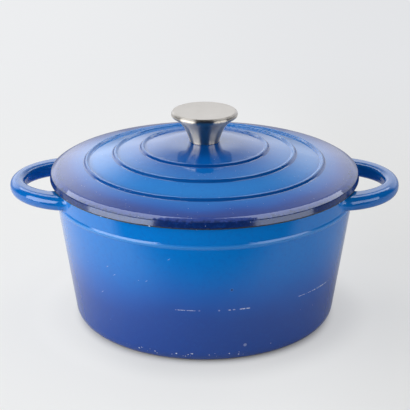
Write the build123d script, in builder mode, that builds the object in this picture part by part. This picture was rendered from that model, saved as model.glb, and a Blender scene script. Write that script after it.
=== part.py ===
"""Round enamelled cast-iron casserole with a domed lid and a hollow steel knob.

Millimetres, +Z up, the origin at the centre of the base on the surface that it stands on.
The two loop handles lie along X. The lid and everything on it lifts off along Z.
"""

from build123d import *
from math import radians, tan
import os

os.makedirs("parts", exist_ok=True)

# Pot casting
rim_height = 128.3
band_radius = 129.6
band_height = 17.3
wall_lean = 8.35
wall_thickness = 4.0
base_thickness = 4.8
base_corner_radius = 12.5
cavity_corner_radius = 17.0
rim_edge_radius = 1.2
base_recess_radius = 88.0
base_recess_depth = 0.6

# Raised line round the pot, at the foot of the upright band
bead_height = 0.7
bead_half_width = 2.9
bead_sink = 0.15
bead_foot_flare = 0.3

# Loop handles, cast in one with the pot
handle_projection = 40.6
handle_loop_radius = 57.4
handle_tip_width = 12.7
handle_root_width = 18.0
handle_drop = 1.5
handle_thickness = 13.4
handle_outer_round = 6.2
handle_inner_round = 4.5
handle_root_flare = 9.0
handle_root_round = 3.5
handle_gap_corner = 5.0
handle_root_sink = 0.5

# Lid casting
lid_overhang = 5.4
lid_rise = 30.7
lid_wall = 4.0
lid_edge_height = 5.8
lid_edge_lean = 1.2
lid_edge_round = 1.0
lid_shoulder_width = 7.0
lid_shoulder_rise = 2.8
flange_depth = 4.0
flange_width = 4.0
flange_clearance = 1.3
flange_chamfer = 0.8
flange_root_round = 2.5

# Three raised rings on the lid, from the middle out: shares of the lid's radius and rise
ring_radius_shares = (0.400, 0.576, 0.762)
ring_height_shares = (0.902, 0.743, 0.511)
ring_lip_width = 2.8
ring_lip_height = 1.4
ring_step_width = 2.8
ring_step_height = 2.5
# How much steeper than its chord the dome inside the first ring ends
dome_end_share = 1.8

# Flat seats for the knob and its washers in the middle of the lid
seat_flat_radius = 14.5
screw_hole_radius = 3.4

# Hollow steel knob
knob_height = 27.4
knob_widest_radius = 28.8
knob_base_radius = 13.0
knob_base_round = 0.8
knob_sheet = 1.5
knob_floor = 1.5
knob_ledge_width = 3.0
knob_ledge_thickness = 1.2
# Outline of the shell from its base up: shares of the way from the base radius
# to the widest radius, and of the knob's height
stem_radius_shares = (0.0, 0.121, 0.322, 0.531, 0.944)
stem_height_shares = (0.0, 0.234, 0.489, 0.64, 0.822)
# How far the stem's side leans out for each unit up, at its foot and under the brim
stem_foot_lean_share = 0.10
stem_brim_lean_share = 1.735
brim_height_share = 0.895

# Brushed disc let into the top of the knob
disc_radius = 27.0
disc_thickness = 1.2
disc_dish = 0.4
disc_rim_width = 1.5
disc_clearance = 0.1

# Threaded insert in the foot of the knob
insert_radius = 5.5
insert_collar_radius = 8.5
insert_collar_height = 2.5
insert_length = 16.0
insert_recess = 0.2
insert_clearance = 0.1
thread_depth = 13.0
thread_clearance = 0.1

# Screw and washers under the lid
screw_radius = 2.95
screw_length = 16.0
screw_head_radius = 6.0
screw_head_height = 3.8
screw_head_round = 1.6
screw_point_chamfer = 0.8
driver_slot_width = 1.2
driver_slot_length = 6.4
driver_slot_depth = 2.2
spring_washer_radius = 5.9
spring_washer_thickness = 1.5
spring_washer_gap = 1.1
spring_washer_cut_angle = 25.0
flat_washer_radius = 9.0
flat_washer_thickness = 1.6
washer_clearance = 0.25

overrun = 2.0

# How far a smooth curve's handles reach along it
curve_share = 0.45

# Heights and radii that several pieces share
bead_z = rim_height - band_height
lean_slope = tan(radians(wall_lean))
foot_radius = band_radius - bead_z * lean_slope
rim_inner_radius = band_radius - wall_thickness
handle_bottom = rim_height - handle_drop - handle_thickness
handle_centre = band_radius + handle_projection - handle_loop_radius
lid_radius = band_radius + lid_overhang
lid_top = rim_height + lid_rise
lid_under = lid_top - lid_wall
lid_edge_top = rim_height + lid_edge_height
knob_top = lid_top + knob_height
knob_floor_top = lid_top + knob_floor
disc_seat = knob_top - disc_thickness
flat_washer_z = lid_under - flat_washer_thickness
head_seat = flat_washer_z - spring_washer_thickness
washer_hole_radius = screw_radius + washer_clearance


def smooth_curve(start, start_way, end, end_way):
    """Draw a curve that leaves start along start_way and reaches end along end_way."""
    reach = curve_share * (end - start).length
    Bezier(start, start + start_way.normalized() * reach, end - end_way.normalized() * reach, end)


# Loop handles: one slab with the plan of both loops, lost inside the pot's wall between them
handle_root_radius = band_radius - handle_root_sink
root_split = handle_loop_radius - handle_root_width / 2
with BuildPart() as handle_loops:
    with BuildSketch(Plane.XY.offset(handle_bottom)) as loop_plan:
        with Locations((-handle_centre, 0), (handle_centre, 0)):
            Circle(handle_loop_radius)
            Ellipse(
                handle_loop_radius - handle_tip_width,
                handle_loop_radius - handle_root_width,
                mode=Mode.SUBTRACT,
            )
        Circle(handle_root_radius)
        outer_corners = [v for v in loop_plan.vertices() if abs(v.Y) > root_split]
        fillet(outer_corners, handle_root_flare)
        gap_corners = [
            v
            for v in loop_plan.vertices()
            if handle_root_width < abs(v.Y) < root_split and abs(v.X) < handle_root_radius
        ]
        fillet(gap_corners, handle_gap_corner)
    extrude(amount=handle_thickness)
    level_faces = handle_loops.faces().filter_by(Axis.Z)
    outer_edges = [edge for face in level_faces for edge in face.outer_wire().edges()]
    fillet(outer_edges, handle_outer_round)
    level_faces = handle_loops.faces().filter_by(Axis.Z)
    gap_edges = [
        edge for face in level_faces for wire in face.inner_wires() for edge in wire.edges()
    ]
    fillet(gap_edges, handle_inner_round)


def from_axis(point):
    """Distance of a point from the upright axis."""
    return Vector(point.X, point.Y).length


def is_handle_root(edge):
    """True for the short edges where a handle runs into the upright band."""
    return edge.length < handle_loop_radius and all(
        abs(from_axis(edge @ share) - band_radius) < handle_root_sink / 2 for share in (0, 0.5, 1)
    )


# Pot: body of revolution with its handles and bead, hollowed, with a recess under the base
cavity_foot_radius = foot_radius - wall_thickness + base_thickness * lean_slope
bead_crest = Vector(band_radius + bead_height, bead_z)
bead_above = Vector(band_radius - bead_sink, bead_z + bead_half_width)
bead_below = Vector(band_radius - bead_half_width * lean_slope - bead_sink, bead_z - bead_half_width)
with BuildPart() as pot:
    with BuildSketch(Plane.XZ) as body_profile:
        with BuildLine():
            Polyline(
                (0, 0),
                (foot_radius, 0),
                (band_radius, bead_z),
                (band_radius, rim_height),
                (0, rim_height),
                close=True,
            )
        make_face()
        outside = body_profile.vertices().filter_by(lambda v: v.X > 0).sort_by(Axis.Y)
        fillet(outside[0], base_corner_radius)
        fillet(outside[-1], rim_edge_radius)
    revolve(axis=Axis.Z)
    add(handle_loops.part)
    fillet(pot.edges().filter_by(is_handle_root), handle_root_round)
    with BuildSketch(Plane.XZ):
        with BuildLine():
            smooth_curve(bead_below, Vector(bead_foot_flare, 1), bead_crest, Vector(0, 1))
            smooth_curve(bead_crest, Vector(0, 1), bead_above, Vector(-bead_foot_flare, 1))
            Line(bead_above, bead_below)
        make_face()
    revolve(axis=Axis.Z)
    with BuildSketch(Plane.XZ) as cavity_profile:
        with BuildLine():
            Polyline(
                (0, base_thickness),
                (cavity_foot_radius, base_thickness),
                (rim_inner_radius, bead_z),
                (rim_inner_radius, rim_height + overrun),
                (0, rim_height + overrun),
                close=True,
            )
        make_face()
        inside = cavity_profile.vertices().filter_by(lambda v: v.X > 0).sort_by(Axis.Y)
        fillet(inside[0], cavity_corner_radius)
    revolve(axis=Axis.Z, mode=Mode.SUBTRACT)
    with BuildSketch():
        Circle(base_recess_radius)
    extrude(amount=base_recess_depth, mode=Mode.SUBTRACT)
    rim_edges = pot.edges().filter_by(GeomType.CIRCLE).group_by(Axis.Z)[-1]
    fillet(rim_edges.sort_by(SortBy.RADIUS)[0], rim_edge_radius)
pot.part.label = "pot"
export_step(pot.part, "parts/pot.step")


# Lid
ring_radii = [share * lid_radius for share in ring_radius_shares]
ring_tops = [rim_height + share * lid_rise for share in ring_height_shares]
flange_radius = rim_inner_radius - flange_clearance
flange_inner_radius = flange_radius - flange_width
shoulder = Vector(lid_radius - lid_shoulder_width, lid_edge_top + lid_shoulder_rise)
edge_corner = Vector(lid_radius - lid_edge_lean, lid_edge_top)


def lid_top_outline():
    """Draw the top of the lid from the knob's seat out: each ring is a lip, then a step down."""
    lips = [
        Vector(radius - ring_lip_width, top - ring_lip_height)
        for radius, top in zip(ring_radii, ring_tops)
    ]
    crests = [Vector(radius, top) for radius, top in zip(ring_radii, ring_tops)]
    steps = [
        Vector(radius + ring_step_width, top - ring_step_height)
        for radius, top in zip(ring_radii, ring_tops)
    ]
    ends = lips[1:] + [shoulder]
    seat = Vector(seat_flat_radius, lid_top)
    dome_end = Vector(lips[0].X - seat.X, dome_end_share * (lips[0].Y - seat.Y))
    ways = [dome_end] + [end - step for step, end in zip(steps, ends)]
    Line((screw_hole_radius, lid_top), seat)
    smooth_curve(seat, Vector(1, 0), lips[0], ways[0])
    for ring, (lip, crest, step, end) in enumerate(zip(lips, crests, steps, ends)):
        smooth_curve(lip, ways[ring], crest, step - lip)
        smooth_curve(crest, step - lip, step, ways[ring + 1])
        Line(step, end)
    smooth_curve(shoulder, ways[-1], edge_corner, edge_corner - shoulder)


with BuildPart() as lid:
    with BuildSketch(Plane.XZ) as lid_profile:
        with BuildLine():
            lid_top_outline()
            Polyline(
                edge_corner,
                (lid_radius, rim_height),
                (flange_radius, rim_height),
                (flange_radius, rim_height - flange_depth),
                (flange_inner_radius, rim_height - flange_depth),
                (flange_inner_radius, lid_edge_top),
                *[
                    (radius, top - ring_lip_height - lid_wall)
                    for radius, top in zip(ring_radii[::-1], ring_tops[::-1])
                ],
                (seat_flat_radius, lid_under),
                (screw_hole_radius, lid_under),
                (screw_hole_radius, lid_top),
            )
        make_face()
        rim_corners = lid_profile.vertices().filter_by(
            lambda v: v.X > lid_radius - lid_edge_lean - lid_edge_round
        )
        fillet(rim_corners, lid_edge_round)
        foot_corners = lid_profile.vertices().group_by(Axis.Y)[0]
        chamfer(foot_corners, flange_chamfer)
        root_corner = lid_profile.vertices().filter_by(
            lambda v: abs(v.X - flange_inner_radius) < flange_chamfer / 2
        )
        fillet(root_corner.sort_by(Axis.Y)[-1], flange_root_round)
    revolve(axis=Axis.Z)
lid.part.label = "lid"
export_step(lid.part, "parts/lid.step")


# Knob shell: a trumpet-shaped skin with a floor, and a ledge that the top disc drops onto
def stem_points(inset):
    """Points up the outside of the stem, moved in towards the axis by inset."""
    spread = knob_widest_radius - knob_base_radius
    return [
        Vector(knob_base_radius + across * spread - inset, lid_top + up * knob_height)
        for across, up in zip(stem_radius_shares, stem_height_shares)
    ]


brim_point = Vector(knob_widest_radius, lid_top + brim_height_share * knob_height)
ledge_z = disc_seat - knob_ledge_thickness
stem_outside = stem_points(0)
stem_inside = stem_points(knob_sheet)
stem_ways = [Vector(stem_foot_lean_share, 1), Vector(stem_brim_lean_share, 1)]
with BuildPart() as knob_shell:
    with BuildSketch(Plane.XZ):
        with BuildLine():
            Spline(*stem_outside, tangents=stem_ways)
            ThreePointArc(stem_outside[-1], brim_point, (disc_radius, knob_top))
            Polyline((disc_radius, knob_top), (0, knob_top), (0, lid_top), stem_outside[0])
        make_face()
    revolve(axis=Axis.Z)
    fillet(knob_shell.edges().group_by(Axis.Z)[0], knob_base_round)
    with BuildSketch(Plane.XZ):
        with BuildLine():
            Spline(*stem_inside, tangents=stem_ways)
            Polyline(
                stem_inside[-1],
                (stem_inside[-1].X, ledge_z),
                (0, ledge_z),
                (0, lid_top),
                stem_inside[0],
            )
        make_face()
        with Locations((knob_base_radius, knob_floor_top)):
            Rectangle(
                2 * knob_base_radius + 2 * knob_widest_radius,
                knob_height,
                align=(Align.CENTER, Align.MIN),
                mode=Mode.INTERSECT,
            )
    revolve(axis=Axis.Z, mode=Mode.SUBTRACT)
    with BuildSketch(Plane.XY.offset(lid_top)):
        Circle(insert_radius + insert_clearance)
    extrude(amount=knob_height, mode=Mode.SUBTRACT)
    with BuildSketch(Plane.XY.offset(ledge_z)):
        Circle(disc_radius - knob_ledge_width)
    extrude(amount=knob_height, mode=Mode.SUBTRACT)
    with BuildSketch(Plane.XY.offset(disc_seat)):
        Circle(disc_radius)
    extrude(amount=disc_thickness + overrun, mode=Mode.SUBTRACT)
knob_shell.part.label = "knob_shell"
export_step(knob_shell.part, "parts/knob_shell.step")


# Knob disc: brushed, let into the ledge, faintly dished inside its rim
disc_edge = disc_radius - disc_clearance
with BuildPart() as knob_disc:
    with BuildSketch(Plane.XZ):
        with BuildLine():
            Polyline(
                (0, knob_top - disc_dish),
                (0, disc_seat),
                (disc_edge, disc_seat),
                (disc_edge, knob_top),
                (disc_edge - disc_rim_width, knob_top),
            )
            Bezier(
                (disc_edge - disc_rim_width, knob_top),
                (disc_edge * curve_share, knob_top - disc_dish),
                (0, knob_top - disc_dish),
            )
        make_face()
    revolve(axis=Axis.Z)
knob_disc.part.label = "knob_disc"
export_step(knob_disc.part, "parts/knob_disc.step")


# Knob insert: a threaded bush whose collar stands on the floor of the shell
with BuildPart() as knob_insert:
    with BuildSketch(Plane.XY.offset(lid_top + insert_recess)):
        Circle(insert_radius)
    extrude(amount=insert_length)
    with BuildSketch(Plane.XY.offset(knob_floor_top)):
        Circle(insert_collar_radius)
    extrude(amount=insert_collar_height)
    with BuildSketch(Plane.XY.offset(lid_top)):
        Circle(screw_radius + thread_clearance)
    extrude(amount=thread_depth, mode=Mode.SUBTRACT)
knob_insert.part.label = "knob_insert"
export_step(knob_insert.part, "parts/knob_insert.step")


# Knob screw: domed head below the lid, with a cross slot
with BuildPart() as knob_screw:
    with BuildSketch(Plane.XY.offset(head_seat)):
        Circle(screw_head_radius)
    extrude(amount=-screw_head_height)
    fillet(knob_screw.edges().group_by(Axis.Z)[0], screw_head_round)
    with BuildSketch(Plane.XY.offset(head_seat)):
        Circle(screw_radius)
    extrude(amount=screw_length)
    chamfer(knob_screw.edges().group_by(Axis.Z)[-1], screw_point_chamfer)
    with BuildSketch(Plane.XY.offset(head_seat - screw_head_height)):
        Rectangle(driver_slot_length, driver_slot_width)
        Rectangle(driver_slot_width, driver_slot_length)
    extrude(amount=driver_slot_depth, mode=Mode.SUBTRACT)
knob_screw.part.label = "knob_screw"
export_step(knob_screw.part, "parts/knob_screw.step")


# Spring washer: a ring cut through on a slant
with BuildPart() as spring_washer:
    with BuildSketch(Plane.XY.offset(head_seat)):
        Circle(spring_washer_radius)
        Circle(washer_hole_radius, mode=Mode.SUBTRACT)
    extrude(amount=spring_washer_thickness)
    with BuildSketch(Plane.YZ):
        with Locations((0, head_seat + spring_washer_thickness / 2)):
            Rectangle(
                spring_washer_gap,
                spring_washer_thickness + 2 * overrun,
                rotation=spring_washer_cut_angle,
            )
    extrude(amount=spring_washer_radius + overrun, mode=Mode.SUBTRACT)
spring_washer.part.label = "spring_washer"
export_step(spring_washer.part, "parts/spring_washer.step")


# Flat washer: spreads the load on the enamel under the lid
with BuildPart() as flat_washer:
    with BuildSketch(Plane.XY.offset(flat_washer_z)):
        Circle(flat_washer_radius)
        Circle(washer_hole_radius, mode=Mode.SUBTRACT)
    extrude(amount=flat_washer_thickness)
flat_washer.part.label = "flat_washer"
export_step(flat_washer.part, "parts/flat_washer.step")
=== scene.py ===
"""Finishes, light and camera for a round enamelled casserole with a domed lid and a steel knob.

Metres, +Z up, the origin at the centre of the base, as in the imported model. Azimuths on the
pot and the lid are in radians from the front, positive towards +X.
"""

from math import cos, pi, radians, sin, tan

import bpy
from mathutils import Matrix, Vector


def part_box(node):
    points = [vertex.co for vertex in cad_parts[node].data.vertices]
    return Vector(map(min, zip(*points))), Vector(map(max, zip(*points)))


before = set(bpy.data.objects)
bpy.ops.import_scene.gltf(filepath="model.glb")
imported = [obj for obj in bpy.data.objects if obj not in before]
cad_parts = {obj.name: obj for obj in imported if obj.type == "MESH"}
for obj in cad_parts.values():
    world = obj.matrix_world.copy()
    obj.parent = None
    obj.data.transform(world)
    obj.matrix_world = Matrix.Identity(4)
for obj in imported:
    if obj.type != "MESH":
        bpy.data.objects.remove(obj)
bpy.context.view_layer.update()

MM = 0.001

# Photograph: a square frame, seen from in front and a little above
CAMERA_PLACE = (0.00045, -1.2408, 0.5626)
CAMERA_PITCH = radians(20.47)
SENSOR_WIDTH = 36.0
FOCAL_LENGTH = 131.7

# Pot, lid and knob, from the frame
pot_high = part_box("pot")[1]
lid_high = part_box("lid")[1]
knob_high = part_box("knob_shell")[1]
RIM_Z = pot_high.z
BAND_RADIUS = 129.6 * MM
BEAD_Z = RIM_Z - 17.3 * MM
WALL_SLOPE = tan(radians(8.35))
WALL_THICKNESS = 4.0 * MM
BASE_THICKNESS = 4.8 * MM
INSIDE_CORNER_TOP = 22.0 * MM
LID_RADIUS = lid_high.x
LID_TOP = lid_high.z
FLANGE_RADIUS = 124.3 * MM
KNOB_TOP = knob_high.z
BRIM_SATIN_HEIGHT = 1.7 * MM
RING_RADII = [share * LID_RADIUS for share in (0.400, 0.576, 0.762)]
RING_TOPS = [RIM_Z + share * (LID_TOP - RIM_Z) for share in (0.902, 0.743, 0.511)]


class Shader:
    """A material's or the world's node tree, with short ways to add nodes to it."""

    def __init__(self, owner):
        owner.use_nodes = True
        self.tree = owner.node_tree
        self.tree.nodes.clear()

    def node(self, kind, **settings):
        made = self.tree.nodes.new(kind)
        for name, value in settings.items():
            setattr(made, name, value)
        return made

    def put(self, value, socket):
        """Feed a socket from another node's output, or set it to a plain value."""
        if isinstance(value, bpy.types.NodeSocket):
            self.tree.links.new(value, socket)
        else:
            socket.default_value = value

    def math(self, operation, *values):
        made = self.node("ShaderNodeMath", operation=operation)
        for value, socket in zip(values, made.inputs):
            self.put(value, socket)
        return made.outputs[0]

    def vector(self, operation, first, second=(0, 0, 0)):
        made = self.node("ShaderNodeVectorMath", operation=operation)
        self.put(first, made.inputs[0])
        self.put(second, made.inputs[1])
        return made.outputs["Value" if operation == "LENGTH" else "Vector"]

    def rise(self, value, start, end):
        """Smoothly from 0 at start to 1 at end. With end below start it falls instead."""
        made = self.node("ShaderNodeMapRange", interpolation_type="SMOOTHSTEP")
        for number, socket in zip((value, start, end), made.inputs):
            self.put(number, socket)
        return made.outputs[0]

    def near(self, value, middle, half_width):
        """1 at the middle, falling smoothly to 0 half a width away on each side."""
        away = self.math("ABSOLUTE", self.math("SUBTRACT", value, middle))
        return self.rise(away, half_width, 0.0)

    def noise(self, place, size, detail=2.0, roughness=0.5):
        """Cloudy noise from 0 to 1 whose lumps are about size across."""
        made = self.node("ShaderNodeTexNoise")
        self.put(place, made.inputs["Vector"])
        self.put(1 / size, made.inputs["Scale"])
        self.put(detail, made.inputs["Detail"])
        self.put(roughness, made.inputs["Roughness"])
        return made.outputs["Fac"]

    def specks(self, place, spacing, radius, share):
        """1 inside small round specks on a random net, of which only a share is shown."""
        made = self.node("ShaderNodeTexVoronoi")
        self.put(place, made.inputs["Vector"])
        self.put(1 / spacing, made.inputs["Scale"])
        split = self.node("ShaderNodeSeparateColor")
        self.put(made.outputs["Color"], split.inputs[0])
        shown = self.math("LESS_THAN", split.outputs[0], share)
        grown = self.math("MULTIPLY", split.outputs[1], radius / spacing)
        spot = self.math("LESS_THAN", made.outputs["Distance"], grown)
        return self.math("MULTIPLY", spot, shown)

    def mix(self, share, first, second):
        """Colour that goes from the first to the second as share goes from 0 to 1."""
        made = self.node("ShaderNodeMix", data_type="RGBA")
        self.put(share, made.inputs["Factor"])
        self.put(first, made.inputs["A"])
        self.put(second, made.inputs["B"])
        return made.outputs["Result"]

    def ramp(self, value, start, end, stops):
        """Colour through stops, each a place between start and end with its colour."""
        share = self.node("ShaderNodeMapRange")
        for number, socket in zip((value, start, end), share.inputs):
            self.put(number, socket)
        made = self.node("ShaderNodeValToRGB")
        made.color_ramp.interpolation = "B_SPLINE"
        elements = made.color_ramp.elements
        while len(elements) < len(stops):
            elements.new(0.5)
        for element, (place, colour) in zip(elements, stops):
            element.position = (place - start) / (end - start)
            element.color = colour
        self.put(share.outputs[0], made.inputs[0])
        return made.outputs["Color"]

    def bump(self, height, depth, normal=None):
        """Bend the surface as a relief of that depth."""
        made = self.node("ShaderNodeBump")
        self.put(depth, made.inputs["Distance"])
        self.put(height, made.inputs["Height"])
        if normal is not None:
            self.put(normal, made.inputs["Normal"])
        return made.outputs[0]


def colour(red, green, blue):
    return (red, green, blue, 1.0)


class Place:
    """Where a shaded point is on the object, and how far out and how high it is."""

    def __init__(self, shader):
        self.point = shader.node("ShaderNodeTexCoord").outputs["Object"]
        split = shader.node("ShaderNodeSeparateXYZ")
        shader.put(self.point, split.inputs[0])
        self.x, self.y, self.z = split.outputs
        flat = shader.vector("MULTIPLY", self.point, (1, 1, 0))
        self.radius = shader.vector("LENGTH", flat)
        backwards = shader.math("MULTIPLY", self.y, -1.0)
        self.azimuth = shader.math("ARCTAN2", self.x, backwards)


def surface(shader, base, roughness, normal, metallic=0.0, ior=1.5, tint=(1, 1, 1, 1)):
    """The one surface shader of a material, and its output."""
    made = shader.node("ShaderNodeBsdfPrincipled")
    shader.put(base, made.inputs["Base Color"])
    shader.put(roughness, made.inputs["Roughness"])
    shader.put(normal, made.inputs["Normal"])
    made.inputs["Metallic"].default_value = metallic
    made.inputs["Specular Tint"].default_value = tint
    made.inputs["IOR"].default_value = ior
    output = shader.node("ShaderNodeOutputMaterial")
    shader.put(made.outputs[0], output.inputs["Surface"])
    return made


# Enamel: a hard gloss whose reflections lean to blue
ENAMEL_IOR = 1.7
ENAMEL_TINT = colour(0.80, 0.88, 1.0)
BRIGHT_BLUE = colour(0.001, 0.185, 0.620)
MID_BLUE = colour(0.004, 0.150, 0.560)
INDIGO = colour(0.011, 0.090, 0.420)
DEEP_INDIGO = colour(0.014, 0.062, 0.315)
# Darker blue round the knob: painted shade from the knob
LID_CORE_PAINTED_SHADE = colour(0.001, 0.098, 0.430)
LID_BLUE = colour(0.002, 0.150, 0.560)
LID_MID = colour(0.010, 0.235, 0.710)
LID_INDIGO = colour(0.008, 0.105, 0.510)
LID_VIOLET = colour(0.026, 0.056, 0.290)
NAVY = colour(0.003, 0.020, 0.120)
# Dark blue painted into the lid's ring steps as shade
STEP_PAINTED_SHADE = colour(0.000, 0.034, 0.205)
# Pale blue for painted highlights on the lid's ring crests and the pot's bead
PAINTED_HIGHLIGHT_BLUE = colour(0.040, 0.260, 0.680)
# Darker blue on the handles: painted shade
HANDLE_PAINTED_SHADE = colour(0.001, 0.110, 0.430)
CREAM = colour(0.780, 0.720, 0.600)
CREAM_STAIN = colour(0.560, 0.440, 0.300)
RAW_IRON = colour(0.018, 0.017, 0.017)
CHIP_WHITE = colour(0.750, 0.820, 0.900)
BROWN_EDGE = colour(0.100, 0.045, 0.030)

# Shades of the pot by height, and of the lid by distance from its middle
POT_SHADES = [
    (0.0, DEEP_INDIGO),
    (40 * MM, DEEP_INDIGO),
    (57 * MM, INDIGO),
    (76 * MM, MID_BLUE),
    (97 * MM, BRIGHT_BLUE),
    (RIM_Z, BRIGHT_BLUE),
]
LID_SHADES = [
    (0.0, LID_CORE_PAINTED_SHADE),
    (36 * MM, LID_CORE_PAINTED_SHADE),
    (60 * MM, LID_BLUE),
    (84 * MM, LID_MID),
    (100 * MM, LID_MID),
    (115 * MM, LID_INDIGO),
    (124 * MM, LID_VIOLET),
    (LID_RADIUS, LID_VIOLET),
]
# Clouds that bend the borders between the shades: their size, and how far they push
POT_CLOUD = (70 * MM, 30 * MM)
LID_CLOUD = (60 * MM, 16 * MM)

# Noises: the size of their lumps, their detail and their roughness
RIPPLE = (9 * MM, 1.0)
PITS = (1.6 * MM, 2.0)
POT_MOTTLE = (3.0 * MM, 4.0, 0.65)
LID_MOTTLE = (2.4 * MM, 4.0, 0.65)
POT_SMEAR = (25 * MM, 3.0, 0.6)
LID_SMEAR = (30 * MM, 3.0, 0.6)
INSIDE_STAIN = (35 * MM, 4.0, 0.6)
RUB_DASHES = (2.2 * MM, 3.0, 0.7)
RAGGED_EDGE = (4.5 * MM, 4.0, 0.7)
EDGE_FLECKS = (2.6 * MM, 3.0, 0.7)
LIP_CHIPS = (3 * MM, 3.0, 0.7)
# Between which values of a noise its marks fade in
MOTTLE_CUT = (0.45, 0.8)
STAIN_CUT = (0.5, 0.85)
DASH_CUT = (0.44, 0.54)
FLECK_CUT = (0.50, 0.58)

# Relief and roughness of the enamel. A gloss is the most that a smear adds, and what it adds to
RIPPLE_DEPTH = 0.045 * MM
PIT_DEPTH = 0.004 * MM
POT_GLOSS = (0.05, 0.07)
LID_GLOSS = (0.03, 0.015)
BEAD_DULL = 0.22
RIM_DULL = 0.45
LID_EDGE_DULL = 0.11
LIP_DULL = 0.4

# Specks: spacing, largest radius and the share of places that have one
FOOT_SPECKS = (2.0 * MM, 0.66 * MM, 0.62)
STRAY_SPECKS = (9 * MM, 0.45 * MM, 0.22)
LID_DUST = (2.8 * MM, 0.36 * MM, 0.45)
LIP_NICKS = (3.4 * MM, 1.1 * MM, 0.3)

# Wear on the pot's front: a rubbed line at one height, in dashes between these azimuths in degrees
RUB_HEIGHT = 52.0 * MM
THIN_RUB_SPANS = [(-12.0, -1.8), (5.2, 6.2), (40.7, 61.4)]
BOLD_RUB_SPANS = [(9.5, 12.0), (14.0, 18.0), (50.0, 57.6)]
THIN_RUB_HALF_WIDTH = 0.35 * MM
BOLD_RUB_HALF_WIDTH = 0.65 * MM
RUB_END = radians(0.4)
FOOT_RUB_HEIGHT = 8.5 * MM
FOOT_RUB_HALF_WIDTH = 2.6 * MM
FOOT_RUB_SPAN = (-38.0, 19.0)
FOOT_RUB_END = radians(3)
FOOT_RUB_CUT = 0.25
# Single marks on the pot's front: azimuth in degrees, height and radius in millimetres
PALE_SPOTS = [(17.0, 16.4, 1.4), (5.7, 52.0, 0.7)]
DARK_SPOTS = [(10.4, 71.0, 0.8)]
SPOT_EDGE = (1.25, 0.75)
HALO_WIDTH = 2
# Slanted white ticks on the pot's front: azimuth in degrees, height and length in millimetres
TICKS = [(-44.9, 54, 4), (-39.9, 81, 3), (-36.8, 75, 4), (-22.4, 76, 3), (-13.0, 99, 3)]
TICK_SLANT = 0.7
TICK_HALF_WIDTH = 0.35 * MM

# Where other marks and shades begin and end on the pot
BEAD_HALF_HEIGHT = 2.6 * MM
BEAD_CREST_RADIUS = BAND_RADIUS + 0.7 * MM
BEAD_CREST_HALF_WIDTH = 1.2 * MM
HANDLE_START = (BAND_RADIUS + 2 * MM, BAND_RADIUS + 12 * MM)
BROWN_FOOT = (2.2 * MM, 0.6 * MM)
BARE_RIM_HEIGHTS = (RIM_Z - 1.3 * MM, RIM_Z - 0.9 * MM)
BARE_RIM_RADII = (BAND_RADIUS + 0.3 * MM, BAND_RADIUS - 0.1 * MM)
INSIDE_FLOOR = BASE_THICKNESS - 0.8 * MM
STAIN_HEIGHTS = (40 * MM, BASE_THICKNESS)

# The same on the lid. A ring's dark step lies just outside it, painted shade, and its pale crest just
# inside, a painted highlight
RING_STEP = (0.5 * MM, 3.1 * MM)
RING_STEP_BLUR = 0.5 * MM
RING_CREST_INSET = 0.5 * MM
RING_CREST_HALF_WIDTH = 1.2 * MM
RAGGED_BY = 11 * MM
NAVY_EDGE = (LID_RADIUS + 1.5 * MM, LID_RADIUS + 4.5 * MM)
FLECK_RADII = (125 * MM, 130 * MM)
FLECK_BLUR = 2 * MM
FLECK_SIDES = (radians(50), radians(75))
DULL_EDGE = (LID_RADIUS - 2.5 * MM, LID_RADIUS - 0.5 * MM)
LIP_HEIGHTS = (RIM_Z + 0.7 * MM, RIM_Z + 0.3 * MM)
LIP_RADIUS = FLANGE_RADIUS - 0.5 * MM
CHIP_HEIGHT = 1.6 * MM

# How strongly each mark shows
POT_MOTTLE_SHARE = 0.35
LID_MOTTLE_SHARE = 0.3
BEAD_HIGHLIGHT_SHARE = 0.7
HANDLE_SHADE_SHARE = 0.75
STAIN_SHARE = 0.35
STRAY_SHARE = 0.7
TICK_SHARE = 0.6
PALE_SPOT_SHARE = 0.28
HALO_SHARE = 0.05
RING_STEP_SHADE_SHARE = 0.72
RING_CREST_HIGHLIGHT_SHARE = 0.35
DUST_SHARE = 0.4
FLECK_SHARE = 0.8

# The line half-way through the lid's casting, from the centre outwards: radius and height
RING_TOP_TO_MIDDLE = 3.4 * MM
LID_MIDDLE = [(0.0, LID_TOP - 2 * MM), (14.5 * MM, LID_TOP - 2 * MM)]
LID_MIDDLE += [(radius, top - RING_TOP_TO_MIDDLE) for radius, top in zip(RING_RADII, RING_TOPS)]
LID_MIDDLE += [(FLANGE_RADIUS - 4 * MM, RIM_Z + 8.0 * MM), (FLANGE_RADIUS + 0.4 * MM, RIM_Z + 4 * MM)]
LID_MIDDLE += [(FLANGE_RADIUS + 0.8 * MM, RIM_Z + 0.3 * MM), (LID_RADIUS + 1 * MM, RIM_Z + 0.3 * MM)]


def enamel_relief(shader, place):
    """The faint ripple and pits of fired enamel."""
    rippled = shader.bump(shader.noise(place.point, *RIPPLE), RIPPLE_DEPTH)
    return shader.bump(shader.noise(place.point, *PITS), PIT_DEPTH, rippled)


def between(shader, value, low, high, edge):
    """1 between low and high, with soft edges."""
    up = shader.rise(value, low - edge, low + edge)
    down = shader.rise(value, high + edge, high - edge)
    return shader.math("MULTIPLY", up, down)


def wander(shader, place, size, reach):
    """A length that drifts to and fro over the object, over the given reach."""
    cloud = shader.noise(place.point, size, detail=2.0)
    return shader.math("MULTIPLY", shader.math("SUBTRACT", cloud, 0.5), reach)


def strongest(shader, masks):
    """The strongest of several masks."""
    most = masks[0]
    for mask in masks[1:]:
        most = shader.math("MAXIMUM", most, mask)
    return most


def spot(shader, place, azimuth, height, radius):
    """1 inside a round mark on the pot's front, with a soft edge."""
    turn = radians(azimuth)
    reach = BAND_RADIUS - (BEAD_Z - height * MM) * WALL_SLOPE
    middle = (reach * sin(turn), -reach * cos(turn), height * MM)
    away = shader.vector("LENGTH", shader.vector("SUBTRACT", place.point, middle))
    return shader.rise(away, *[share * radius * MM for share in SPOT_EDGE])


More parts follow.
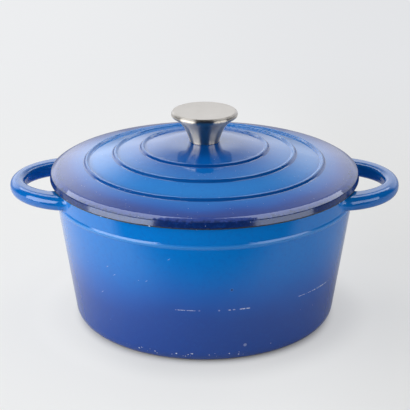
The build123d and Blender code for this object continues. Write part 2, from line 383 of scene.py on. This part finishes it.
def tick(shader, place, azimuth, height, length):
    """1 on a short thin stroke that slants up to the right on the pot's front."""
    along = shader.math("MULTIPLY", shader.math("SUBTRACT", place.azimuth, radians(azimuth)), BAND_RADIUS)
    up = shader.math("SUBTRACT", place.z, height * MM)
    off = shader.math("SUBTRACT", up, shader.math("MULTIPLY", along, TICK_SLANT))
    stroke = shader.near(off, 0.0, TICK_HALF_WIDTH)
    return shader.math("MULTIPLY", stroke, shader.near(along, 0.0, length * MM / 2))


def pot_wear(shader, place):
    """White rubs, specks and ticks on the outside of the pot."""
    dashes = shader.rise(shader.noise(place.point, *RUB_DASHES), *DASH_CUT)
    masks = []
    rubs = ((THIN_RUB_SPANS, THIN_RUB_HALF_WIDTH), (BOLD_RUB_SPANS, BOLD_RUB_HALF_WIDTH))
    for spans, half_width in rubs:
        pieces = [between(shader, place.azimuth, *map(radians, span), RUB_END) for span in spans]
        line = shader.near(place.z, RUB_HEIGHT, half_width)
        rub = shader.math("MULTIPLY", strongest(shader, pieces), line)
        masks.append(shader.math("MULTIPLY", rub, dashes))
    foot_line = shader.near(place.z, FOOT_RUB_HEIGHT, FOOT_RUB_HALF_WIDTH)
    foot_span = between(shader, place.azimuth, *map(radians, FOOT_RUB_SPAN), FOOT_RUB_END)
    foot = shader.math("GREATER_THAN", shader.math("MULTIPLY", foot_line, foot_span), FOOT_RUB_CUT)
    masks.append(shader.math("MULTIPLY", foot, shader.specks(place.point, *FOOT_SPECKS)))
    stray = shader.specks(place.point, *STRAY_SPECKS)
    masks.append(shader.math("MULTIPLY", stray, STRAY_SHARE))
    masks += [shader.math("MULTIPLY", tick(shader, place, *mark), TICK_SHARE) for mark in TICKS]
    pale = [spot(shader, place, *mark) for mark in PALE_SPOTS]
    masks += [shader.math("MULTIPLY", mark, PALE_SPOT_SHARE) for mark in pale]
    return strongest(shader, masks)


def pot_inside(shader, place):
    """1 on the inside of the pot: within the line half-way through its wall, and above its floor."""
    lean = shader.math("MULTIPLY", shader.math("MINIMUM", place.z, BEAD_Z), WALL_SLOPE)
    corner = shader.rise(place.z, INSIDE_CORNER_TOP, BASE_THICKNESS)
    foot_radius = BAND_RADIUS - BEAD_Z * WALL_SLOPE - WALL_THICKNESS / 2
    mid_wall = shader.math("MULTIPLY_ADD", corner, -WALL_THICKNESS, shader.math("ADD", lean, foot_radius))
    within = shader.math("LESS_THAN", place.radius, mid_wall)
    above = shader.math("GREATER_THAN", place.z, INSIDE_FLOOR)
    return shader.math("MULTIPLY", within, above)


def pot_enamel():
    """Enamel shaded from bright blue at the rim to indigo at the foot, cream inside, bare rim."""
    made = bpy.data.materials.new("pot_enamel")
    shader = Shader(made)
    place = Place(shader)
    level = shader.math("ADD", place.z, wander(shader, place, *POT_CLOUD))
    blue = shader.ramp(level, 0.0, RIM_Z, POT_SHADES)
    mottle = shader.noise(place.point, *POT_MOTTLE)
    darker = shader.mix(POT_MOTTLE_SHARE, blue, INDIGO)
    blue = shader.mix(shader.rise(mottle, *MOTTLE_CUT), blue, darker)
    # A paler line along the bead's crest: a painted highlight
    level_with_bead = shader.near(place.z, BEAD_Z, BEAD_HALF_HEIGHT)
    out_at_bead = shader.near(place.radius, BEAD_CREST_RADIUS, BEAD_CREST_HALF_WIDTH)
    bead = shader.math("MULTIPLY", level_with_bead, out_at_bead)
    blue = shader.mix(shader.math("MULTIPLY", bead, BEAD_HIGHLIGHT_SHARE), blue, PAINTED_HIGHLIGHT_BLUE)
    # The handles painted darker: painted shade
    outer = shader.rise(place.radius, *HANDLE_START)
    blue = shader.mix(shader.math("MULTIPLY", outer, HANDLE_SHADE_SHARE), blue, HANDLE_PAINTED_SHADE)
    for mark in DARK_SPOTS:
        azimuth, height, radius = mark
        halo = spot(shader, place, azimuth, height, HALO_WIDTH * radius)
        blue = shader.mix(shader.math("MULTIPLY", halo, HALO_SHARE), blue, CHIP_WHITE)
        blue = shader.mix(spot(shader, place, *mark), blue, NAVY)
    outside = shader.mix(shader.rise(place.z, *BROWN_FOOT), blue, BROWN_EDGE)
    outside = shader.mix(pot_wear(shader, place), outside, CHIP_WHITE)
    stain = shader.rise(shader.noise(place.point, *INSIDE_STAIN), *STAIN_CUT)
    stain = shader.math("MULTIPLY", stain, shader.rise(place.z, *STAIN_HEIGHTS))
    inside_colour = shader.mix(shader.math("MULTIPLY", stain, STAIN_SHARE), CREAM, CREAM_STAIN)
    base = shader.mix(pot_inside(shader, place), outside, inside_colour)
    rim_high = shader.rise(place.z, *BARE_RIM_HEIGHTS)
    rim_in = shader.rise(place.radius, *BARE_RIM_RADII)
    rim = shader.math("MULTIPLY", rim_high, rim_in)
    base = shader.mix(rim, base, RAW_IRON)
    smear = shader.noise(place.point, *POT_SMEAR)
    gloss = shader.math("MULTIPLY_ADD", smear, *POT_GLOSS)
    gloss = shader.math("MULTIPLY_ADD", bead, BEAD_DULL, gloss)
    roughness = shader.math("MULTIPLY_ADD", rim, RIM_DULL, gloss)
    surface(shader, base, roughness, enamel_relief(shader, place), ior=ENAMEL_IOR, tint=ENAMEL_TINT)
    return made


def lid_skin(shader, place):
    """1 on the underside of the lid, 0 on top: the line half-way through the casting."""
    height = LID_MIDDLE[0][1]
    for (radius_a, top_a), (radius_b, top_b) in zip(LID_MIDDLE, LID_MIDDLE[1:]):
        drop = shader.node("ShaderNodeMapRange")
        for value, socket in zip((place.radius, radius_a, radius_b, 0.0, top_b - top_a), drop.inputs):
            shader.put(value, socket)
        height = shader.math("ADD", height, drop.outputs[0])
    return shader.math("LESS_THAN", place.z, height)


def lid_enamel():
    """Enamel shaded from a darker blue round the knob, painted shade, through bright blue to violet and
    navy at the edge.
    """
    made = bpy.data.materials.new("lid_enamel")
    shader = Shader(made)
    place = Place(shader)
    across = shader.math("ADD", place.radius, wander(shader, place, *LID_CLOUD))
    blue = shader.ramp(across, 0.0, LID_RADIUS, LID_SHADES)
    ragged = shader.noise(place.point, *RAGGED_EDGE)
    edge = shader.rise(shader.math("MULTIPLY_ADD", ragged, RAGGED_BY, place.radius), *NAVY_EDGE)
    flecks = shader.rise(shader.noise(place.point, *EDGE_FLECKS), *FLECK_CUT)
    at_edge = between(shader, place.radius, *FLECK_RADII, FLECK_BLUR)
    at_side = shader.rise(shader.math("ABSOLUTE", place.azimuth), *FLECK_SIDES)
    flecks = shader.math("MULTIPLY", flecks, shader.math("MULTIPLY", at_edge, at_side))
    blue = shader.mix(shader.math("MULTIPLY", flecks, FLECK_SHARE), blue, NAVY)
    top = shader.mix(edge, blue, NAVY)
    mottle = shader.noise(place.point, *LID_MOTTLE)
    darker = shader.mix(LID_MOTTLE_SHARE, top, LID_INDIGO)
    top = shader.mix(shader.rise(mottle, *MOTTLE_CUT), top, darker)
    for radius in RING_RADII:
        step_radii = [radius + out for out in RING_STEP]
        step = between(shader, place.radius, *step_radii, RING_STEP_BLUR)
        crest_highlight = shader.near(place.radius, radius - RING_CREST_INSET, RING_CREST_HALF_WIDTH)
        # Darken each ring's outer step: painted shade
        top = shader.mix(shader.math("MULTIPLY", step, RING_STEP_SHADE_SHARE), top, STEP_PAINTED_SHADE)
        # Lighten each ring's crest: a painted highlight
        top = shader.mix(shader.math("MULTIPLY", crest_highlight, RING_CREST_HIGHLIGHT_SHARE), top, PAINTED_HIGHLIGHT_BLUE)
    dust = shader.specks(place.point, *LID_DUST)
    top = shader.mix(shader.math("MULTIPLY", dust, DUST_SHARE), top, CHIP_WHITE)
    under = lid_skin(shader, place)
    base = shader.mix(under, top, CREAM)
    chips = shader.math("MULTIPLY", shader.noise(place.point, *LIP_CHIPS), CHIP_HEIGHT)
    lip = shader.rise(shader.math("SUBTRACT", place.z, chips), *LIP_HEIGHTS)
    bare = shader.math("MULTIPLY", lip, shader.math("GREATER_THAN", place.radius, LIP_RADIUS))
    base = shader.mix(bare, base, RAW_IRON)
    nicks = shader.specks(place.point, *LIP_NICKS)
    base = shader.mix(shader.math("MULTIPLY", bare, nicks), base, CHIP_WHITE)
    smear = shader.noise(place.point, *LID_SMEAR)
    gloss = shader.math("MULTIPLY_ADD", smear, *LID_GLOSS)
    outer = shader.rise(place.radius, *DULL_EDGE)
    gloss = shader.math("MULTIPLY_ADD", outer, LID_EDGE_DULL, gloss)
    roughness = shader.math("MULTIPLY_ADD", bare, LIP_DULL, gloss)
    surface(shader, base, roughness, enamel_relief(shader, place), ior=ENAMEL_IOR, tint=ENAMEL_TINT)
    return made


# Steel: tints, and marks stretched along the strokes, as noises with a depth
SATIN_TINT = colour(0.480, 0.455, 0.420)
POLISHED_TINTS = (colour(0.69, 0.63, 0.53), colour(0.77, 0.70, 0.59))
BRUSHED_TINTS = (colour(0.41, 0.385, 0.350), colour(0.55, 0.525, 0.485))
FASTENER_TINTS = (colour(0.46, 0.45, 0.44), colour(0.58, 0.57, 0.55))
TURNED_STRETCH = (0.02, 0.02, 1.0)
TURNED_MARKS = (0.25 * MM, 3.0, 0.6)
TURNED_DEPTH = 0.0015 * MM
BRUSHED_STRETCH = (0.035, 1.0, 1.0)
BRUSH_STROKES = (0.22 * MM, 4.0, 0.7)
BRUSHED_DEPTH = 0.006 * MM
FASTENER_GRAIN = (0.5 * MM, 3.0, 0.6)
FASTENER_DEPTH = 0.01 * MM
POLISHED_SMEAR = (6 * MM, 3.0, 0.6)
BRUSHED_SMEAR = (8 * MM, 3.0, 0.6)
POLISHED_ROUGHNESS = 0.29
POLISHED_SMEAR_DULL = 0.05
BRIM_DULL = 0.08
BRIM_BLUR = 0.4 * MM
BRUSHED_GLOSS = (0.12, 0.34)
FASTENER_GLOSS = (0.2, 0.22)
QUARTER_TURN = 0.25


def polished_steel():
    """Stainless steel polished on a lathe: fine marks run round it, so highlights stretch upright."""
    made = bpy.data.materials.new("polished_steel")
    shader = Shader(made)
    place = Place(shader)
    turned = shader.vector("MULTIPLY", place.point, TURNED_STRETCH)
    marks = shader.noise(turned, *TURNED_MARKS)
    smear = shader.noise(place.point, *POLISHED_SMEAR)
    tint = shader.mix(smear, *POLISHED_TINTS)
    brim = KNOB_TOP - BRIM_SATIN_HEIGHT
    satin = shader.rise(place.z, brim - BRIM_BLUR, brim)
    tint = shader.mix(satin, tint, SATIN_TINT)
    gloss = shader.math("MULTIPLY_ADD", satin, BRIM_DULL, POLISHED_ROUGHNESS)
    roughness = shader.math("MULTIPLY_ADD", smear, POLISHED_SMEAR_DULL, gloss)
    steel = surface(shader, tint, roughness, shader.bump(marks, TURNED_DEPTH), metallic=1.0)
    round_the_stem = shader.node("ShaderNodeTangent", direction_type="RADIAL", axis="Z")
    shader.put(round_the_stem.outputs[0], steel.inputs["Tangent"])
    steel.inputs["Anisotropic"].default_value = 1.0
    steel.inputs["Anisotropic Rotation"].default_value = QUARTER_TURN
    return made


def brushed_steel():
    """Satin steel, brushed one way across."""
    made = bpy.data.materials.new("brushed_steel")
    shader = Shader(made)
    place = Place(shader)
    along = shader.vector("MULTIPLY", place.point, BRUSHED_STRETCH)
    strokes = shader.noise(along, *BRUSH_STROKES)
    smear = shader.noise(place.point, *BRUSHED_SMEAR)
    tint = shader.mix(strokes, *BRUSHED_TINTS)
    roughness = shader.math("MULTIPLY_ADD", smear, *BRUSHED_GLOSS)
    surface(shader, tint, roughness, shader.bump(strokes, BRUSHED_DEPTH), metallic=1.0)
    return made


def fastener_steel():
    """Plain stainless steel, turned, with a dull grain."""
    made = bpy.data.materials.new("fastener_steel")
    shader = Shader(made)
    place = Place(shader)
    grain = shader.noise(place.point, *FASTENER_GRAIN)
    tint = shader.mix(grain, *FASTENER_TINTS)
    roughness = shader.math("MULTIPLY_ADD", grain, *FASTENER_GLOSS)
    surface(shader, tint, roughness, shader.bump(grain, FASTENER_DEPTH), metallic=1.0)
    return made


def dress(node, material):
    """Give a piece of the frame its finish."""
    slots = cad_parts[node].material_slots
    for material_slot in slots:
        material_slot.material = material
    if not slots:
        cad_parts[node].data.materials.append(material)


# Light: a soft panel on each side in front, and two overhead with a gap between them
PANELS = [
    # name, direction as azimuth from the front and elevation, distance, width, height, brightness
    ("left_panel", -61.0, 12.5, 1.3, 1.30, 0.90, 4.6),
    ("right_panel", 57.0, 9.0, 1.3, 1.10, 0.60, 2.5),
]
OVERHEADS = [
    # name, place, turn about the upright, width, depth, brightness
    ("left_overhead", (-0.74, 0.79, 1.20), 41.0, 0.55, 1.56, 2.6),
    ("right_overhead", (0.74, 0.79, 1.20), -41.0, 0.55, 1.56, 2.4),
]
AIM = Vector((0.0, 0.0, 0.1))


def add_panel(name, place, turned, width, height, brightness):
    """A rectangular lamp. Brightness is how bright the panel itself looks."""
    lamp = bpy.data.lights.new(name, "AREA")
    lamp.shape = "RECTANGLE"
    lamp.size = width
    lamp.size_y = height
    lamp.energy = brightness * pi * width * height
    holder = bpy.data.objects.new(name, lamp)
    holder.location = place
    holder.rotation_euler = turned
    bpy.context.scene.collection.objects.link(holder)


def add_lights():
    for name, azimuth, elevation, distance, width, height, brightness in PANELS:
        turn, lift = radians(azimuth), radians(elevation)
        way = Vector((sin(turn) * cos(lift), -cos(turn) * cos(lift), sin(lift)))
        turned = way.to_track_quat("Z", "Y").to_euler()
        add_panel(name, AIM + distance * way, turned, width, height, brightness)
    for name, place, turn, width, depth, brightness in OVERHEADS:
        add_panel(name, place, (0, 0, radians(turn)), width, depth, brightness)


# Surroundings: a pale backdrop behind, a dim ceiling above it, a dark room in front
BACKDROP_LEFT = colour(0.845, 0.855, 0.870)
BACKDROP_RIGHT = colour(0.770, 0.780, 0.800)
MIRRORED_LEFT = colour(1.90, 1.92, 1.96)
MIRRORED_RIGHT = colour(1.20, 1.22, 1.28)
MIRRORED_FOOT = colour(0.62, 0.64, 0.70)
BACKDROP_FOOT = (-0.02, 0.20)
BACKDROP_TOP = (0.34, 0.74)
BACKDROP_SIDE = (0.50, 0.76)
MIRRORED_BLEND = (-0.45, 0.45)
HORIZON_BLEND = (-0.05, 0.05)
SKY = colour(0.31, 0.33, 0.38)
SKY_BOTTOM = (0.78, 0.88)
SKY_FRONT = (0.05, 0.22)
DARK_ROOM = colour(0.012, 0.013, 0.016)
EVEN_LIGHT = colour(0.22, 0.22, 0.22)
FLOOR = colour(0.640, 0.640, 0.635)
FLOOR_GLOW = colour(0.985, 0.995, 1.0)
GLOW_AT_FOOT_SHARE = 0.06
GLOW_NEAR_SHARE = 0.46
GLOW_OUT_SHARE = 0.16
GLOW_NEAR_REACH = (0.103, 0.119)
GLOW_OUT_REACH = (0.116, 0.155)
RIGHT_SHADE_REACH = (0.02, 0.20)
RIGHT_SHADE_SHARE = 0.24
LEFT_GLOW_REACH = (-0.03, -0.12)
LEFT_GLOW_FADE = (0.165, 0.110)
LEFT_GLOW_SHARE = 0.26
LIT_FLOOR = colour(1.6, 1.6, 1.6)
LIT_FLOOR_SHARE = 0.42
FLOOR_BEHIND = colour(0.46, 0.47, 0.52)
FLOOR_FRONT_EDGE = -0.205
FLOOR_FRONT_BLUR = 0.045
SHADOW_REACH = (0.36, 0.90)
FLOOR_BLEND = (-0.35, 0.35)
LIT_FLOOR_REACH = (-0.06, -0.26)
FLOOR_BEHIND_REACH = (0.2, 0.5)
FLOOR_HALF = 6.0


def add_world():
    """Even light all round. Reflections see a pale backdrop behind, dimmer at its foot, that fades
    into a dim ceiling overhead, and a dark room elsewhere."""
    world = bpy.data.worlds.new("studio")
    bpy.context.scene.world = world
    shader = Shader(world)
    way = shader.node("ShaderNodeTexCoord").outputs["Generated"]
    split = shader.node("ShaderNodeSeparateXYZ")
    shader.put(way, split.inputs[0])
    sideways, forwards, upwards = split.outputs
    path = shader.node("ShaderNodeLightPath")
    level = shader.vector("LENGTH", shader.vector("MULTIPLY", way, (1, 1, 0)))
    behind = shader.rise(shader.math("DIVIDE", forwards, level), *BACKDROP_SIDE)
    low = shader.rise(upwards, *reversed(BACKDROP_TOP))
    above = shader.math("MULTIPLY", shader.rise(upwards, *SKY_BOTTOM), shader.rise(forwards, *SKY_FRONT))
    wall = shader.mix(shader.rise(sideways, *MIRRORED_BLEND), MIRRORED_LEFT, MIRRORED_RIGHT)
    wall = shader.mix(shader.rise(upwards, *BACKDROP_FOOT), MIRRORED_FOOT, wall)
    bright = shader.mix(low, SKY, wall)
    mirrored = shader.mix(shader.math("MAXIMUM", behind, above), DARK_ROOM, bright)
    seen = shader.mix(path.outputs["Is Glossy Ray"], EVEN_LIGHT, mirrored)
    backdrop = shader.mix(shader.rise(sideways, *HORIZON_BLEND), BACKDROP_LEFT, BACKDROP_RIGHT)
    seen = shader.mix(path.outputs["Is Camera Ray"], seen, backdrop)
    glow = shader.node("ShaderNodeBackground")
    shader.put(seen, glow.inputs["Color"])
    output = shader.node("ShaderNodeOutputWorld")
    shader.put(glow.outputs[0], output.inputs["Surface"])


def glowing(shader, tint):
    made = shader.node("ShaderNodeEmission")
    shader.put(tint, made.inputs["Color"])
    return made.outputs[0]


def blended(shader, share, first, second):
    made = shader.node("ShaderNodeMixShader")
    for value, socket in zip((share, first, second), made.inputs):
        shader.put(value, socket)
    return made.outputs[0]


def add_floor():
    """A pale floor that takes the shadow near the pot and fades into the backdrop further out.

    In reflections it is brightest on the left and ends a little in front of the pot.
    """
    mesh = bpy.data.meshes.new("floor")
    signs = ((-1, -1), (1, -1), (1, 1), (-1, 1))
    corners = [(x * FLOOR_HALF, y * FLOOR_HALF, 0) for x, y in signs]
    mesh.from_pydata(corners, [], [(0, 1, 2, 3)])
    floor = bpy.data.objects.new("floor", mesh)
    bpy.context.scene.collection.objects.link(floor)
    made = bpy.data.materials.new("floor")
    shader = Shader(made)
    place = Place(shader)
    path = shader.node("ShaderNodeLightPath")
    looked_at = path.outputs["Is Camera Ray"]
    mirrored = path.outputs["Is Glossy Ray"]
    pale = shader.node("ShaderNodeBsdfDiffuse")
    shader.put(FLOOR, pale.inputs["Color"])
    # For the camera the floor glows least at the pot's foot, painting its contact shadow deeper
    glow_share = GLOW_AT_FOOT_SHARE
    for reach, share in ((GLOW_NEAR_REACH, GLOW_NEAR_SHARE), (GLOW_OUT_REACH, GLOW_OUT_SHARE)):
        glow_share = shader.math("MULTIPLY_ADD", shader.rise(place.radius, *reach), share, glow_share)
    shade = shader.math("MULTIPLY_ADD", shader.rise(place.x, *RIGHT_SHADE_REACH), -RIGHT_SHADE_SHARE, 1.0)
    close = shader.rise(place.radius, *LEFT_GLOW_FADE)
    left = shader.math("MULTIPLY", shader.rise(place.x, *LEFT_GLOW_REACH), close)
    shade = shader.math("MULTIPLY_ADD", left, LEFT_GLOW_SHARE, shade)
    glow_share = shader.math("MULTIPLY", looked_at, shader.math("MULTIPLY", glow_share, shade))
    seen = blended(shader, glow_share, pale.outputs[0], glowing(shader, FLOOR_GLOW))
    backdrop = shader.mix(shader.rise(place.x, *FLOOR_BLEND), BACKDROP_LEFT, BACKDROP_RIGHT)
    far = shader.math("MULTIPLY", shader.rise(place.radius, *SHADOW_REACH), looked_at)
    seen = blended(shader, far, seen, glowing(shader, backdrop))
    lit_share = shader.math("MULTIPLY", shader.rise(place.x, *LIT_FLOOR_REACH), LIT_FLOOR_SHARE)
    seen = blended(shader, shader.math("MULTIPLY", lit_share, mirrored), seen, glowing(shader, LIT_FLOOR))
    behind = shader.math("MULTIPLY", shader.rise(place.y, *FLOOR_BEHIND_REACH), mirrored)
    seen = blended(shader, behind, seen, glowing(shader, FLOOR_BEHIND))
    front = shader.rise(place.y, FLOOR_FRONT_EDGE + FLOOR_FRONT_BLUR, FLOOR_FRONT_EDGE - FLOOR_FRONT_BLUR)
    seen = blended(shader, shader.math("MULTIPLY", front, mirrored), seen, glowing(shader, DARK_ROOM))
    output = shader.node("ShaderNodeOutputMaterial")
    shader.put(seen, output.inputs["Surface"])
    mesh.materials.append(made)


def add_camera():
    data = bpy.data.cameras.new("camera")
    data.sensor_width = SENSOR_WIDTH
    data.lens = FOCAL_LENGTH
    camera = bpy.data.objects.new("camera", data)
    camera.location = CAMERA_PLACE
    camera.rotation_euler = (pi / 2 - CAMERA_PITCH, 0, 0)
    bpy.context.scene.collection.objects.link(camera)
    bpy.context.scene.camera = camera


dress("pot", pot_enamel())
dress("lid", lid_enamel())
dress("knob_shell", polished_steel())
dress("knob_disc", brushed_steel())
steel = fastener_steel()
for fastener in ("knob_insert", "knob_screw", "spring_washer", "flat_washer"):
    dress(fastener, steel)

add_camera()
add_floor()
add_world()
add_lights()
bpy.context.scene.view_settings.view_transform = "Standard"
